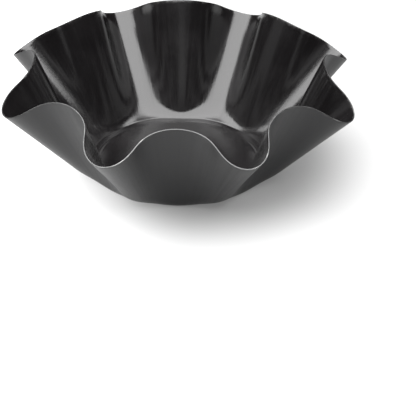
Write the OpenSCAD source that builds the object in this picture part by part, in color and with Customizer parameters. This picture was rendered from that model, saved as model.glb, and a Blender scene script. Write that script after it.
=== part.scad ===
// Fluted baking pan, one sheet pressed into round lobes and inward folds over a flat base.
// Millimetres, +Z up. The origin is the centre of the resting face, on the ground plane.
// One fold points along -Y, the front of the pan.

/* [Rim] */
// Number of lobes around the rim, with as many folds between them
flutes = 8; // [6:1:12]
// Radius of the rim at the tip of a lobe, the largest
lobe_radius = 100; // [70:0.5:140]
// Height of the rim at the tip of a lobe
lobe_height = 47.9; // [25:0.1:80]
// Radius of the rim at the crest of a fold
fold_radius = 78.8; // [50:0.1:120]
// Height of the rim at the crest of a fold
fold_height = 62.8; // [30:0.1:100]

/* [Flute shape] */
// Second wave of the rim radius, larger makes the folds broader
radius_2 = 0.64; // [-3:0.01:3]
// Third wave of the rim radius, squares the flanks
radius_3 = 0.3; // [-3:0.01:3]
// First wave of the turn of the flanks towards the lobes, degrees
turn_1 = -1.46; // [-3:0.01:3]
// Second wave of the turn, narrows the lobes at their neck, degrees
turn_2 = 1.9; // [-1:0.01:3]
// Second wave of the rim height
rise_2 = -0.9; // [-3:0.01:3]
// Third wave of the rim height
rise_3 = -0.42; // [-3:0.01:3]

/* [Base] */
// Mean radius where the wall and the floor would meet without their rounding
base_radius = 52; // [35:0.1:75]
// How far that radius is larger under a lobe and smaller under a fold
base_wave = 1; // [-3:0.1:3]
// Mean length of the rounding, measured on the floor and on the wall
base_round = 8.5; // [4:0.1:18]
// How much longer the rounding is under a lobe, and shorter under a fold
round_wave = 3.5; // [0:0.1:10]

/* [Sheet and coats] */
// Thickness of the bare steel sheet
sheet = 0.6; // [0.3:0.05:1.2]
// Thickness of the release coat on the food side
inner_coat = 0.04; // [0.02:0.01:0.1]
// Thickness of the protective coat on the outer side
outer_coat = 0.04; // [0.02:0.01:0.1]

/* [Smoothness] */
// Steps around one lobe and one fold
steps_per_flute = 14; // [8:2:24]
// Steps up the straight wall
wall_steps = 6; // [3:1:10]
// Steps around the rounding at the base
round_steps = 5; // [2:1:8]

/* [Node] */
// Which piece is made

/* [Hidden] */

steps = flutes * steps_per_flute;
radius_mean = (lobe_radius + fold_radius) / 2 - radius_2;
radius_1 = (lobe_radius - fold_radius) / 2 - radius_3;
height_mean = (lobe_height + fold_height) / 2 - rise_2;
rise_1 = (lobe_height - fold_height) / 2 - rise_3;

// Rim of the outer skin. t is counted in degrees from the fold at the front, where the phase is 180.
function phase(t) = flutes * t + 180;
function rim_radius(t) = radius_mean + radius_1 * cos(phase(t))
    + radius_2 * cos(2 * phase(t)) + radius_3 * cos(3 * phase(t));
function rim_height(t) = height_mean + rise_1 * cos(phase(t))
    + rise_2 * cos(2 * phase(t)) + rise_3 * cos(3 * phase(t));
function rim_angle(t) = t - 90 + turn_1 * sin(phase(t)) + turn_2 * sin(2 * phase(t));
function rim(t) = [rim_radius(t) * cos(rim_angle(t)), rim_radius(t) * sin(rim_angle(t)), rim_height(t)];

// Sharp corner between floor and wall, and the straight wall line that rises from it to the rim.
function ring(t, r) = [r * cos(t - 90), r * sin(t - 90), 0];
function corner_radius(t) = base_radius + base_wave * cos(phase(t));
function round_length(t) = base_round + round_wave * cos(phase(t));
function floor_edge(t) = ring(t, corner_radius(t) - round_length(t));
function corner(t) = ring(t, corner_radius(t));
function wall_line(t) = rim(t) - corner(t);
function wall_start(t) = corner(t) + round_length(t) * wall_line(t) / norm(wall_line(t));

// Point of the outer skin. q runs 0 to 1 over the rounding and 1 to 2 up the straight wall.
function rounding(t, v) = (1 - v) * (1 - v) * floor_edge(t) + 2 * v * (1 - v) * corner(t)
    + v * v * wall_start(t);
function skin(t, q) = q <= 1 ? rounding(t, q) : wall_start(t) + (q - 1) * (rim(t) - wall_start(t));

// Unit normal of the skin, pointing to the food side.
function along(t, q) = q < 1
    ? (1 - q) * (corner(t) - floor_edge(t)) + q * (wall_start(t) - corner(t))
    : wall_line(t);
function around(t, q) = skin(t + 0.01, q) - skin(t - 0.01, q);
function unit(v) = v / norm(v);
function inward(t, q) = unit(cross(along(t, q), around(t, q)));

// The levels at which the skin is cut into rings, and all its points at a distance d inside it.
levels = [for (i = [0 : round_steps]) i / round_steps, for (i = [1 : wall_steps]) 1 + i / wall_steps];
rings = len(levels);
function skin_points(d) = [for (q = levels) for (k = [0 : steps - 1])
    let (t = k * 360 / steps) skin(t, q) + d * inward(t, q)];

// A closed layer between two distances inside the outer skin.
module layer(d0, d1) {
    n = steps;
    top = rings * n;
    low_floor = [for (k = [0 : n - 1]) k];
    high_floor = [for (k = [n - 1 : -1 : 0]) top + k];
    low = [for (j = [0 : rings - 2]) for (k = [0 : n - 1])
        let (a = j * n + k, b = j * n + (k + 1) % n) each [[a, a + n, b + n], [a, b + n, b]]];
    high = [for (f = low) [f[0] + top, f[2] + top, f[1] + top]];
    edge = [for (k = [0 : n - 1])
        let (a = (rings - 1) * n + k, b = (rings - 1) * n + (k + 1) % n)
        each [[a, a + top, b + top], [a, b + top, b]]];
    polyhedron(points = concat(skin_points(d0), skin_points(d1)),
        faces = concat([low_floor], low, edge, high, [high_floor]), convexity = 10);
}

module steel_shell() {
    color([0.72, 0.72, 0.73]) layer(outer_coat, outer_coat + sheet);
}

module inner_coat_film() {
    color([0.06, 0.06, 0.065]) layer(outer_coat + sheet, outer_coat + sheet + inner_coat);
}

module outer_coat_film() {
    color([0.22, 0.22, 0.23]) layer(0, outer_coat);
}

steel_shell();
inner_coat_film();
outer_coat_film();
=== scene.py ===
"""Looks of the fluted baking pan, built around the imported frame.

Metres, +Z up. The origin is the centre of the resting face, and one fold is at the front, towards -Y.
The skin has the same sizes and waves as the part's own source, in finer steps.
"""
import math

import bpy
from mathutils import Matrix, Vector


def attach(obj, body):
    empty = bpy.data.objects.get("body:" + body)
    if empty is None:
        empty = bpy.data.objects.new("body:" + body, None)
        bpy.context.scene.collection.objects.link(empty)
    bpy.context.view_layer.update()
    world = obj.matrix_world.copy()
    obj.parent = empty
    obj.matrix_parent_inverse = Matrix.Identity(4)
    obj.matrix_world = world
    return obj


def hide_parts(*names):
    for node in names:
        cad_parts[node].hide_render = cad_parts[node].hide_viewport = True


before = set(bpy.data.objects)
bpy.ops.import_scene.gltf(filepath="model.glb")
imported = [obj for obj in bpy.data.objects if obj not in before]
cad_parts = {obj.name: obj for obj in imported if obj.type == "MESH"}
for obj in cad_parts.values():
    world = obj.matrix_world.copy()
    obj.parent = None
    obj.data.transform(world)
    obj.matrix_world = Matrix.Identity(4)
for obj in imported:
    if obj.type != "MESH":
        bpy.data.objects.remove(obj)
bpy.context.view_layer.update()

# ---------------------------------------------------------------- sizes
MM = 0.001
FLUTES = 8
LOBE_R, LOBE_Z = 100 * MM, 47.9 * MM            # rim at the tip of a lobe
FOLD_R, FOLD_Z = 78.8 * MM, 62.8 * MM           # rim at the crest of a fold
RADIUS_2, RADIUS_3 = 0.64 * MM, 0.3 * MM        # second and third wave of the rim's radius
RISE_2, RISE_3 = -0.9 * MM, -0.42 * MM          # the same for its height
TURN_1, TURN_2 = -1.46, 1.9                     # sideways turn of the flanks, degrees
BASE_R, BASE_WAVE = 52 * MM, 1 * MM             # corner between floor and wall
ROUND, ROUND_WAVE = 8.5 * MM, 3.5 * MM          # length of its rounding
COAT, SHEET = 0.04 * MM, 0.6 * MM
EDGE = 0.09 * MM                                # broken edge of the cut rim
RINGS = 45.5 * MM, 48.7 * MM                    # faint rings pressed around the floor

# ---------------------------------------------------------------- camera
AIM = Vector((0, 0, 27 * MM))
ELEVATION, AZIMUTH, ROLL = math.radians(28.13), math.radians(0.93), math.radians(0.38)
DISTANCE = 974.7 * MM
LENS, SENSOR = 151.3013, 36                     # millimetres
# The pan stands left of and above the middle of the picture, so the camera turns a little right and down.
TURN_RIGHT, TURN_DOWN = math.radians(0.9584), math.radians(2.9599)


def place_camera():
    data = bpy.data.cameras.new("camera")
    data.sensor_width = SENSOR
    data.lens = LENS
    data.clip_start, data.clip_end = 0.01, 50
    back = Vector((math.sin(AZIMUTH) * math.cos(ELEVATION), -math.cos(AZIMUTH) * math.cos(ELEVATION),
                   math.sin(ELEVATION)))
    right = (-back).cross(Vector((0, 0, 1))).normalized()
    up = right.cross(-back).normalized()
    look = Matrix((right, up, back)).transposed()
    for angle, axis in ((-TURN_RIGHT, "Y"), (-TURN_DOWN, "X"), (ROLL, "Z")):
        look = look @ Matrix.Rotation(angle, 3, axis)
    camera = bpy.data.objects.new("camera", data)
    camera.matrix_world = Matrix.Translation(AIM + back * DISTANCE) @ look.to_4x4()
    bpy.context.scene.collection.objects.link(camera)
    return camera


bpy.context.scene.camera = place_camera()
bpy.context.scene.view_settings.view_transform = "Standard"


# ---------------------------------------------------------------- shape
def wave(t):
    """Phase of the flutes. t counts degrees from the fold at the front, where the phase is half a turn."""
    return math.radians(FLUTES * t + 180)


def ring(t, r, turn=0.0, z=0.0):
    a = math.radians(t - 90 + turn)
    return Vector((r * math.cos(a), r * math.sin(a), z))


def waves(lobe, fold, second, third, p):
    """A size that is lobe at the tips and fold at the crests, with two finer waves between them."""
    mean, swing = (lobe + fold) / 2 - second, (lobe - fold) / 2 - third
    return mean + swing * math.cos(p) + second * math.cos(2 * p) + third * math.cos(3 * p)


def rim(t):
    p = wave(t)
    turn = TURN_1 * math.sin(p) + TURN_2 * math.sin(2 * p)
    return ring(t, waves(LOBE_R, FOLD_R, RADIUS_2, RADIUS_3, p), turn, waves(LOBE_Z, FOLD_Z, RISE_2, RISE_3, p))


def skin(t, q):
    """Outer skin. q is below 0 on the floor, 0 at its edge, 1 at the foot of the wall and 2 at the rim."""
    swing = math.cos(wave(t))
    corner_r, length = BASE_R + BASE_WAVE * swing, ROUND + ROUND_WAVE * swing
    floor_edge, corner, top = ring(t, corner_r - length), ring(t, corner_r), rim(t)
    wall_foot = corner + (top - corner).normalized() * length
    if q < 0:
        return floor_edge * (1 + q)
    if q <= 1:
        return floor_edge * (1 - q) ** 2 + corner * (2 * q * (1 - q)) + wall_foot * q ** 2
    return wall_foot.lerp(top, q - 1)


def inward(t, q):
    """Unit normal of the outer skin, towards the food side."""
    if q <= 0:
        return Vector((0, 0, 1))
    step_q, step_t = 1e-3, 0.02
    ahead = q if q in (1, 2) else q + step_q
    along = skin(t, ahead) - skin(t, q - step_q)
    return along.cross(skin(t + step_t, q) - skin(t - step_t, q)).normalized()


AROUND = FLUTES * 36
ROUND_STEPS, WALL_STEPS = 10, 28
SNUG = 0.9999           # keeps the finer curves inside the frame's facets
LEVELS = [-0.92, -0.78, -0.6, -0.4, -0.22, -0.08]
LEVELS += [i / ROUND_STEPS for i in range(ROUND_STEPS + 1)]
LEVELS += [1 + i / WALL_STEPS for i in range(1, WALL_STEPS + 1)]
TURNS = [360 * k / AROUND for k in range(AROUND)]
POINTS = [[skin(t, q) for t in TURNS] for q in LEVELS]
NORMALS = [[inward(t, q) for t in TURNS] for q in LEVELS]
DOWN = [(skin(t, 1) - rim(t)).normalized() for t in TURNS]


def layer(name, section):
    """A closed shell between two skins.

    section is the cut rim from the outer side to the food side, as pairs of the distance inside the outer
    skin and the distance below the rim. The attribute "flow" runs around the pan and up its wall.
    """
    verts, flows, rows, faces = [], [], [], []

    def row(level, inside, below=0.0):
        rows.append(range(len(verts), len(verts) + AROUND))
        for k, t in enumerate(TURNS):
            verts.append(POINTS[level][k] + NORMALS[level][k] * inside + DOWN[k] * below)
            flows.append((math.cos(math.radians(t)), math.sin(math.radians(t)), max(LEVELS[level], 0)))

    last = len(LEVELS) - 1
    outer, inner = section[0][0], section[-1][0]
    for level in range(last):
        row(level, outer)
    for inside, below in section:
        row(last, inside, below)
    for level in reversed(range(last)):
        row(level, inner)

    ahead = [(k + 1) % AROUND for k in range(AROUND)]
    for low, high in zip(rows, rows[1:]):
        faces += [(low[k], low[n], high[n], high[k]) for k, n in enumerate(ahead)]
    for ids, inside, outside in ((rows[0], outer, True), (rows[-1], inner, False)):
        middle = len(verts)
        verts.append(Vector((0, 0, inside)))
        flows.append((0, 0, 0))
        for k, n in enumerate(ahead):
            faces.append((middle, ids[n], ids[k]) if outside else (middle, ids[k], ids[n]))

    mesh = bpy.data.meshes.new(name)
    mesh.from_pydata([(v.x * SNUG, v.y * SNUG, v.z) for v in verts], [], faces)
    mesh.validate()
    flow = mesh.attributes.new("flow", "FLOAT_VECTOR", "POINT")
    for point, value in zip(flow.data, flows):
        point.vector = value
    for face in mesh.polygons:
        face.use_smooth = True
    piece = bpy.data.objects.new(name, mesh)
    bpy.context.scene.collection.objects.link(piece)
    return piece


# ---------------------------------------------------------------- materials
class Nodes:
    """A material's node tree, built with short calls."""

    def __init__(self, name):
        self.mat = bpy.data.materials.new(name)
        self.mat.use_nodes = True
        self.tree = self.mat.node_tree
        self.shader = self.tree.nodes["Principled BSDF"]
        self.place = self.tree.nodes.new("ShaderNodeTexCoord").outputs["Object"]

    def put(self, value, socket):
        if isinstance(value, bpy.types.NodeSocket):
            self.tree.links.new(value, socket)
        else:
            socket.default_value = value

    def set(self, **values):
        for key, value in values.items():
            self.put(value, self.shader.inputs[key.replace("_", " ")])

    def attribute(self, name):
        n = self.tree.nodes.new("ShaderNodeAttribute")
        n.attribute_name = name
        return n.outputs["Vector"]

    def vector(self, op, a, b=(0, 0, 0)):
        n = self.tree.nodes.new("ShaderNodeVectorMath")
        n.operation = op
        self.put(a, n.inputs[0])
        self.put(b, n.inputs[1])
        return n.outputs["Value" if op == "LENGTH" else "Vector"]

    def noise(self, scale, detail=3.0, rough=0.55, vector=None):
        n = self.tree.nodes.new("ShaderNodeTexNoise")
        self.put(vector or self.place, n.inputs["Vector"])
        n.inputs["Scale"].default_value = scale
        n.inputs["Detail"].default_value = detail
        n.inputs["Roughness"].default_value = rough
        return n.outputs[0]

    def streaks(self, around, along, detail, rough):
        """Noise that is fine around the pan and long up its wall."""
        stretched = self.vector("MULTIPLY", self.attribute("flow"), (around, around, along))
        return self.noise(1.0, detail, rough, stretched)

    def ramp(self, value, lo, hi, out_lo=0.0, out_hi=1.0):
        n = self.tree.nodes.new("ShaderNodeMapRange")
        n.interpolation_type = "SMOOTHSTEP"
        self.put(value, n.inputs[0])
        for i, v in enumerate((lo, hi, out_lo, out_hi)):
            n.inputs[i + 1].default_value = v
        return n.outputs[0]

    def calc(self, op, a, b=0.0):
        n = self.tree.nodes.new("ShaderNodeMath")
        n.operation = op
        self.put(a, n.inputs[0])
        self.put(b, n.inputs[1])
        return n.outputs[0]

    def total(self, first, *others):
        for value in others:
            first = self.calc("ADD", first, value)
        return first

    def mix(self, factor, a, b):
        n = self.tree.nodes.new("ShaderNodeMix")
        n.data_type = "RGBA"
        self.put(factor, n.inputs[0])
        self.put(a, n.inputs[6])
        self.put(b, n.inputs[7])
        return n.outputs[2]

    def part(self, vector, axis):
        n = self.tree.nodes.new("ShaderNodeSeparateXYZ")
        self.put(vector, n.inputs[0])
        return n.outputs[axis]

    def level(self):
        """0 on the floor, 1 at the foot of the straight wall, 2 at the rim."""
        return self.part(self.attribute("flow"), 2)

    def radius(self, shift=(0, 0, 0)):
        """Distance from the pan's axis, or from that axis moved against the shift."""
        flat = self.vector("MULTIPLY", self.place, (1, 1, 0))
        return self.vector("LENGTH", self.vector("ADD", flat, shift))

    def groove(self, at, width):
        """0 in a thin circular line around the floor, 1 beside it."""
        away = self.calc("ABSOLUTE", self.calc("SUBTRACT", self.radius(), at))
        return self.ramp(away, 0.0, width)

    def worn(self, start, end, scale):
        """Flecks of wear that fade in between two levels of the wall."""
        flecks = self.ramp(self.noise(scale, 4.0, 0.65), 0.47, 0.66)
        return self.calc("MULTIPLY", self.ramp(self.level(), start, end), flecks)

    def on_wall(self, height):
        """A height that fades out towards the floor."""
        return self.calc("MULTIPLY", height, self.ramp(self.level(), 0.3, 1.1))

    def bumps(self, *layers):
        """Bumps on top of each other, each with its height pattern and its depth."""
        normal = None
        for height, depth in layers:
            n = self.tree.nodes.new("ShaderNodeBump")
            n.inputs["Strength"].default_value = 1.0
            n.inputs["Distance"].default_value = depth
            self.put(height, n.inputs["Height"])
            if normal is not None:
                self.put(normal, n.inputs["Normal"])
            normal = n.outputs[0]
        return normal


def tone(red, green=None, blue=None):
    """A colour. One value alone makes a grey."""
    return (red, red, red, 1) if green is None else (red, green, blue, 1)


RIM_BAND = 1.972, 2.0   # levels of the last 2 mm below the rim
FOOT_BAND = 0.3, 0.0    # levels around the edge of the resting face


def gloss_black():
    """Baked release coat on the food side: black, glossy, with draw lines up the wall and wear at the rim."""
    m = Nodes("release_coat")
    lines = m.streaks(46.0, 0.5, 3.0, 0.6)
    swells = m.streaks(16.0, 0.35, 2.0, 0.5)
    grain = m.noise(900.0, 2.0, 0.5)
    cloud = m.noise(38.0, 4.0, 0.6)
    edge = m.worn(*RIM_BAND, scale=330.0)
    black = m.mix(m.ramp(cloud, 0.35, 0.7), tone(0.0036, 0.0032, 0.0034), tone(0.0056, 0.005, 0.0053))
    m.set(Base_Color=m.mix(edge, black, tone(0.026, 0.025, 0.025)), IOR=1.5)
    m.set(Roughness=m.total(m.ramp(cloud, 0.3, 0.7, 0.15, 0.2), m.ramp(lines, 0.35, 0.75, 0.0, 0.06),
                            m.ramp(edge, 0.0, 1.0, 0.0, 0.14), m.ramp(grain, 0.4, 0.8, 0.0, 0.04)))
    m.set(Normal=m.bumps((m.on_wall(swells), 0.14 * MM), (m.on_wall(lines), 0.04 * MM),
                         (m.groove(RINGS[0], 1.3 * MM), 0.13 * MM), (m.groove(RINGS[1], 1 * MM), 0.08 * MM),
                         (grain, 0.02 * MM)))
    return m.mat


def satin_charcoal():
    """Baked outer coat: charcoal, satin, finely pebbled, worn at the rim and where the pan stands."""
    m = Nodes("outer_coat")
    lines = m.streaks(38.0, 0.5, 3.0, 0.6)
    swells = m.streaks(12.0, 0.4, 2.0, 0.5)
    grain = m.noise(1400.0, 2.0, 0.6)
    cloud = m.noise(30.0, 4.0, 0.6)
    edge = m.worn(*RIM_BAND, scale=330.0)
    foot = m.calc("MULTIPLY", m.worn(*FOOT_BAND, scale=520.0), m.ramp(m.radius(), 38 * MM, 46 * MM, 0.0, 0.6))
    charcoal = m.mix(m.ramp(cloud, 0.3, 0.7), tone(0.0055, 0.0055, 0.006), tone(0.0085, 0.0085, 0.0092))
    m.set(Base_Color=m.mix(m.calc("MAXIMUM", edge, foot), charcoal, tone(0.026, 0.026, 0.027)), IOR=1.5)
    m.set(Roughness=m.total(m.ramp(cloud, 0.3, 0.7, 0.36, 0.42), m.ramp(lines, 0.35, 0.75, 0.0, 0.06),
                            m.ramp(foot, 0.0, 1.0, 0.0, -0.08), m.ramp(grain, 0.4, 0.8, 0.0, 0.05)))
    m.set(Normal=m.bumps((m.on_wall(swells), 0.12 * MM), (m.on_wall(lines), 0.03 * MM),
                         (m.groove(RINGS[0], 1.3 * MM), 0.15 * MM), (grain, 0.012 * MM)))
    return m.mat


def cut_steel():
    """Sheared edge of the sheet: bare, dulled, with fine shear marks across it and bright worn flecks."""
    m = Nodes("cut_steel")
    marks = m.streaks(420.0, 3.0, 3.0, 0.6)
    cloud = m.noise(60.0, 4.0, 0.6)
    flecks = m.ramp(m.noise(90.0, 3.0, 0.6), 0.5, 0.72)
    dull = m.mix(m.ramp(cloud, 0.3, 0.7), tone(0.06), tone(0.1))
    m.set(Base_Color=m.mix(flecks, dull, tone(0.24, 0.238, 0.235)), Metallic=1.0)
    m.set(Roughness=m.total(m.ramp(cloud, 0.3, 0.7, 0.36, 0.46), m.ramp(marks, 0.4, 0.7, 0.0, 0.12)))
    m.set(Normal=m.bumps((marks, 0.02 * MM)))
    return m.mat


def floor_painted_glow_and_shade():
    """Pale paper that glows though it is no lamp: painted light, weaker close to the pan as a painted contact
    shadow and stronger on its left as painted light. The outer wall mirrors it.
    """
    m = Nodes("floor_painted_glow_and_shade")
    # Painted shadow: the glow drops close to the pan, centred 18 mm right of its axis, so the floor looks
    # shaded there.
    glow_with_painted_shadow = m.ramp(m.radius((-18 * MM, 0, 0)), 50 * MM, 100 * MM, 0.18, 0.62)
    # Painted light: extra glow on the left of the pan, for the outer wall to mirror.
    left = m.ramp(m.part(m.place, 0), 10 * MM, -70 * MM, 0.0, 0.52)
    m.set(Base_Color=m.mix(m.noise(6.0), tone(0.14), tone(0.15)), Roughness=0.9)
    # The floor's glow is painted light: it lights the pan, though the floor is no lamp.
    m.set(Emission_Color=tone(1), Emission_Strength=m.total(glow_with_painted_shadow, left))
    return m.mat


# ---------------------------------------------------------------- pieces
OUT, IN = COAT, COAT + SHEET        # the two faces of the bare sheet, inside the outer skin
SHEET_RIM = [(OUT, EDGE), (OUT + EDGE * 0.3, EDGE * 0.3), (OUT + EDGE, 0), ((OUT + IN) / 2, 0),
             (IN - EDGE, 0), (IN - EDGE * 0.3, EDGE * 0.3), (IN, EDGE)]
FOOD_RIM = [(IN, EDGE), (IN + COAT * 0.6, EDGE * 1.1), (IN + COAT, EDGE * 1.7)]
BACK_RIM = [(0, EDGE * 1.7), (COAT * 0.4, EDGE * 1.1), (COAT, EDGE)]
PIECES = (("sheet", SHEET_RIM, "steel_shell", cut_steel),
          ("food_coat", FOOD_RIM, "inner_coat_film", gloss_black),
          ("back_coat", BACK_RIM, "outer_coat_film", satin_charcoal))
for name, section, node, material in PIECES:
    piece = layer(name, section)
    piece.data.materials.append(material())
    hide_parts(node)
    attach(piece, "root")

# ---------------------------------------------------------------- floor and light
FLOOR = 3               # half its width


def make_floor():
    corners = [(-FLOOR, -FLOOR, 0), (FLOOR, -FLOOR, 0), (FLOOR, FLOOR, 0), (-FLOOR, FLOOR, 0)]
    mesh = bpy.data.meshes.new("floor")
    mesh.from_pydata(corners, [], [(0, 1, 2, 3)])
    mesh.materials.append(floor_painted_glow_and_shade())
    floor = bpy.data.objects.new("floor", mesh)
    bpy.context.scene.collection.objects.link(floor)
    return floor


def softbox(name, at, aim, size, watts, shape="RECTANGLE"):
    data = bpy.data.lights.new(name, "AREA")
    data.shape = shape
    data.size, data.size_y = size
    data.energy = watts
    light = bpy.data.objects.new(name, data)
    light.location = at
    light.rotation_mode = "QUATERNION"
    light.rotation_quaternion = (Vector(aim) - Vector(at)).to_track_quat("-Z", "Y")
    bpy.context.scene.collection.objects.link(light)


make_floor()
softbox("overhead", at=(-0.23, -0.385, 1.03), aim=(-0.23, -0.385, 0.0), size=(2.3, 1.8), watts=86,
        shape="ELLIPSE")
softbox("front", at=(0.02, -1.5, 0.5), aim=(0.0, 0.0, 0.05), size=(0.4, 0.36), watts=0.4)
softbox("left", at=(-1.9, -0.3, 0.75), aim=(0.0, 0.0, 0.03), size=(1.1, 1.1), watts=1.5)
world = bpy.data.worlds.new("world")
world.use_nodes = True
world.node_tree.nodes["Background"].inputs["Color"].default_value = (0.03, 0.03, 0.031, 1)
bpy.context.scene.world = world
